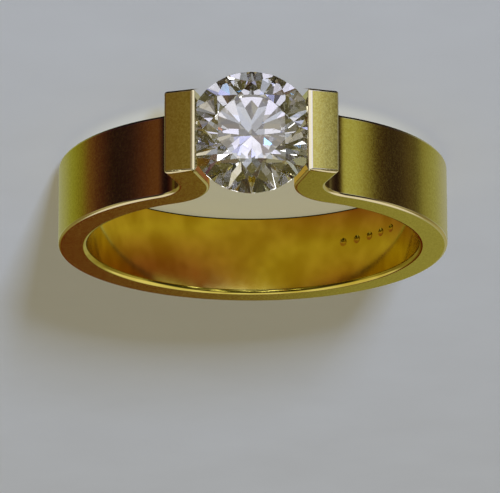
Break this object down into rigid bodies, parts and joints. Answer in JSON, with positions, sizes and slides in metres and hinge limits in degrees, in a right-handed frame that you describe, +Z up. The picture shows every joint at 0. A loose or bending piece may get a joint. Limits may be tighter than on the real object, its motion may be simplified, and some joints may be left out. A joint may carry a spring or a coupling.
{
  "type": "tension set ring",
  "caption": "Plain flat finger ring whose turned-up ends stand as two square grips and hold a round brilliant stone between them.",
  "frame": {"origin": "centre of the finger bore, halfway across the width of the band", "axes": "the ring lies on its side: +Y from the stone to the far side of the shank, +Z up and close to the bore's axis, +X across the grips"},
  "size_m": [0.0206, 0.0245, 0.0064],
  "materials": {
    "yellow_gold": "satin outside, polished in the bore and on the bevels",
    "clear_stone": "clear with polished facets"
  },
  "bodies": {
    "root": {"band": "yellow_gold", "stone": "clear_stone"}
  },
  "joints": []
}
